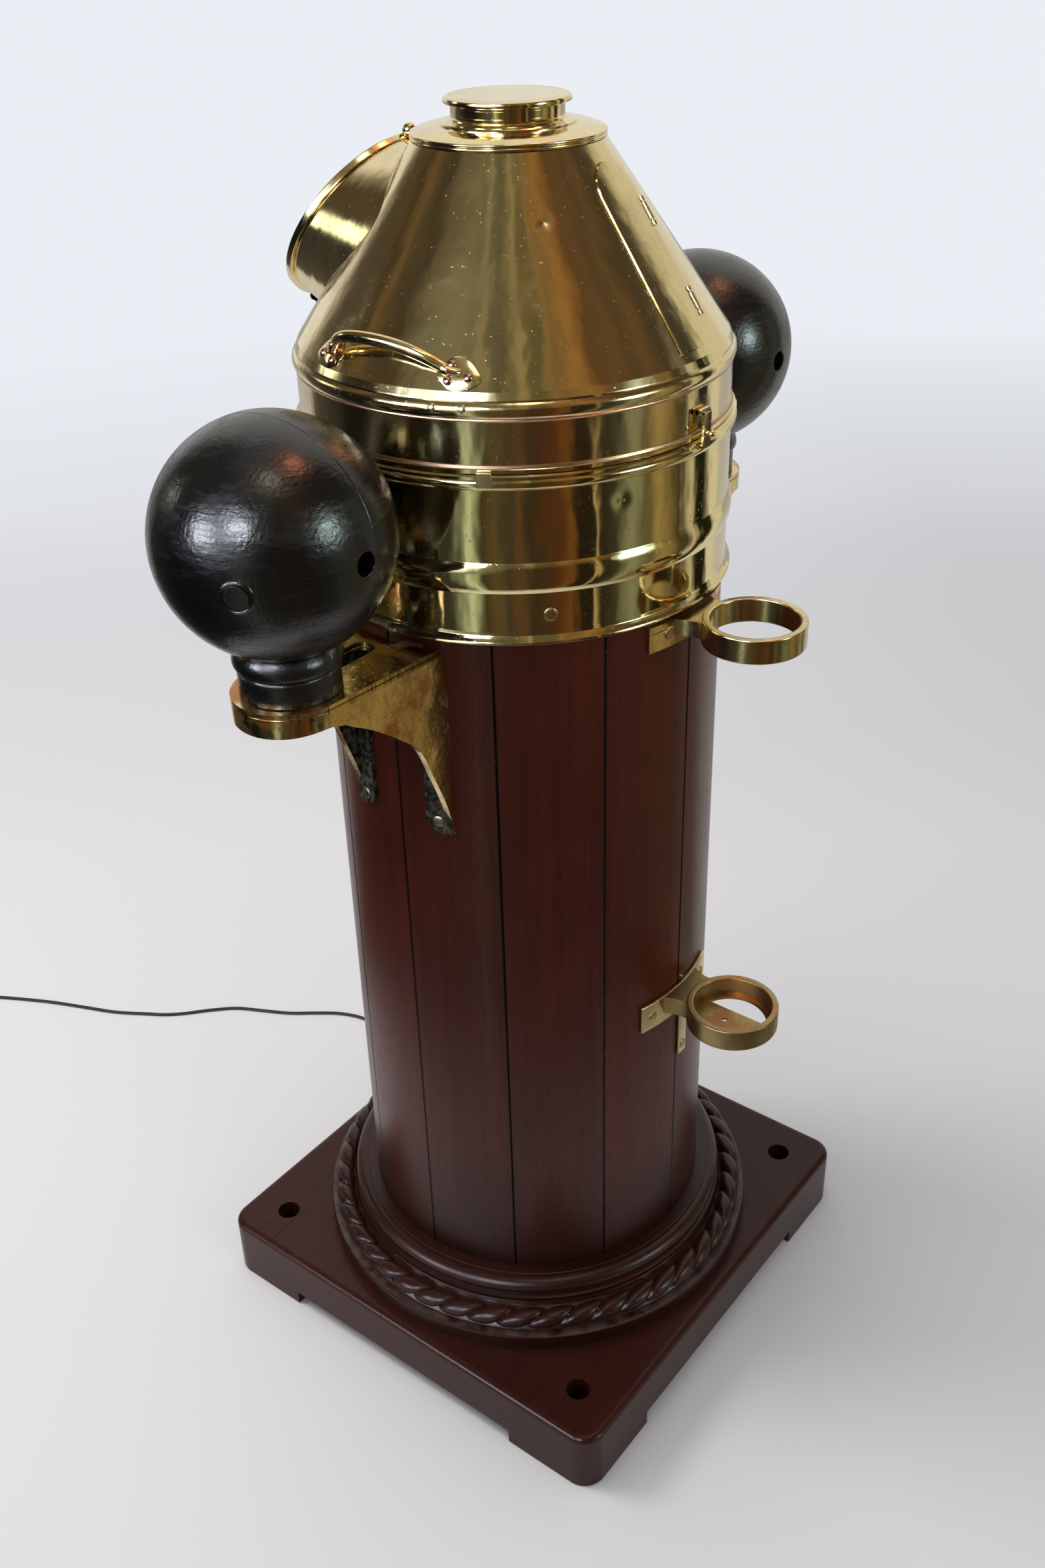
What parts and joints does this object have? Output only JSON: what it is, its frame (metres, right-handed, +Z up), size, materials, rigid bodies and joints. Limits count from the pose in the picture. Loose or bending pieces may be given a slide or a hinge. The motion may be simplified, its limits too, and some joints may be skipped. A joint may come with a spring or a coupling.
{
  "type": "binnacle compass",
  "caption": "Ship's standard compass on a round staved wooden stand, with a conical brass hood, sight tube, iron correcting spheres on slotted brackets and sockets for an upright bar.",
  "frame": {"origin": "middle of the base's underside, on the axis of the column, at floor level", "axes": "+Z up along the column, +X towards the near correcting sphere, +Y towards the bar sockets, -Y towards the sight tube"},
  "size_m": [0.8478, 1.4184, 1.364],
  "materials": {
    "hood_brass": "polished sheet brass with brown smudges",
    "cast_brass": "cast brass, dull in places, with orange-brown spots",
    "column_wood": "red-brown mahogany, satin varnish",
    "base_wood": "dark stained wood, gloss varnish",
    "black_iron": "black gloss paint with brush marks",
    "bare_iron": "bare dark iron",
    "clear_glass": "clear",
    "card": "matt off-white card",
    "cord_rubber": "black, slightly glossy"
  },
  "bodies": {
    "pedestal": {"base_plate": "base_wood", "plinth_ring": "column_wood", "rope_ring": "column_wood", "torus_ring": "column_wood", "stave_01": "column_wood", "stave_02": "column_wood", "stave_03": "column_wood", "stave_04": "column_wood", "stave_05": "column_wood", "stave_06": "column_wood", "stave_07": "column_wood", "stave_08": "column_wood", "stave_09": "column_wood", "stave_10": "column_wood", "stave_11": "column_wood", "stave_12": "column_wood", "column_hinge": "hood_brass", "magnet_tray": "column_wood", "corrector_magnet": "bare_iron", "deck_plate": "column_wood", "heeling_tube": "cast_brass", "casing_shell": "hood_brass", "gimbal_bracket_right": "cast_brass", "gimbal_bracket_left": "cast_brass", "lamp_holder": "cast_brass", "lamp_bulb": "clear_glass", "sphere_bracket_near": "cast_brass", "sphere_bracket_far": "cast_brass", "flinders_ring": "cast_brass", "flinders_cup": "cast_brass", "cord_lead": "cord_rubber", "cord_coil": "cord_rubber", "cord_plug": "cord_rubber", "cord_gland": "cord_rubber"},
    "column_door": {"column_door": "column_wood"},
    "heeling_bucket": {"heeling_bucket": "cast_brass"},
    "gimbal_ring": {"gimbal_ring": "cast_brass"},
    "bowl": {"bowl": "cast_brass", "bowl_glass": "clear_glass", "bowl_bezel": "cast_brass"},
    "card": {"compass_card": "card", "card_magnet": "bare_iron"},
    "hood": {"hood_shell": "hood_brass", "hood_cap": "hood_brass", "sight_tube": "hood_brass", "door_hinge_upper": "hood_brass", "door_hinge_lower": "hood_brass", "handle_near": "hood_brass", "handle_far": "hood_brass"},
    "hood_lid": {"hood_lid": "hood_brass"},
    "sight_cover": {"sight_cover": "hood_brass", "sight_glass": "clear_glass"},
    "hood_door": {"hood_door": "hood_brass"},
    "hasp": {"hasp": "hood_brass"},
    "sphere_near": {"sphere_near": "black_iron", "sphere_neck_near": "black_iron", "clamp_bolt_near": "cast_brass"},
    "sphere_far": {"sphere_far": "black_iron", "sphere_neck_far": "black_iron", "clamp_bolt_far": "cast_brass"}
  },
  "joints": [
    {"name": "hood_lift", "type": "slide", "parent": "pedestal", "child": "hood", "axis": [0, 0, 1], "range_m": [0, 0.3]},
    {"name": "lid_lift", "type": "slide", "parent": "hood", "child": "hood_lid", "axis": [0, 0, 1], "range_m": [0, 0.03]},
    {"name": "sight_cover_hinge", "type": "hinge", "parent": "hood", "child": "sight_cover", "pos_m": [0, -0.23293, 1.1688], "axis": [1, 0, 0], "range_deg": [0, 110]},
    {"name": "hood_door_hinge", "type": "hinge", "parent": "hood", "child": "hood_door", "pos_m": [-0.037, 0.17757, 1.194], "axis": [0, -0.5825, 0.8129], "range_deg": [0, 100]},
    {"name": "hasp_hinge", "type": "hinge", "parent": "hood", "child": "hasp", "pos_m": [0, 0.2043, 1.124], "axis": [1, 0, 0], "range_deg": [0, 120]},
    {"name": "sphere_near_slide", "type": "slide", "parent": "pedestal", "child": "sphere_near", "axis": [1, 0, 0], "range_m": [-0.013, 0.01]},
    {"name": "sphere_far_slide", "type": "slide", "parent": "pedestal", "child": "sphere_far", "axis": [-1, 0, 0], "range_m": [-0.013, 0.01]},
    {"name": "gimbal_ring_tilt", "type": "hinge", "parent": "pedestal", "child": "gimbal_ring", "pos_m": [0, 0, 1.08], "axis": [1, 0, 0], "range_deg": [-20, 20]},
    {"name": "bowl_tilt", "type": "hinge", "parent": "gimbal_ring", "child": "bowl", "pos_m": [0, 0, 1.08], "axis": [0, 1, 0], "range_deg": [-20, 20]},
    {"name": "card_turn", "type": "hinge", "parent": "bowl", "child": "card", "pos_m": [0, 0, 1.0643], "axis": [0, 0, 1], "continuous": true},
    {"name": "heeling_slide", "type": "slide", "parent": "pedestal", "child": "heeling_bucket", "axis": [0, 0, 1], "range_m": [-0.1, 0.1]},
    {"name": "column_door_hinge", "type": "hinge", "parent": "pedestal", "child": "column_door", "pos_m": [-0.07597, -0.18803, 0.515], "axis": [0, 0, -1], "range_deg": [0, 100]}
  ]
}
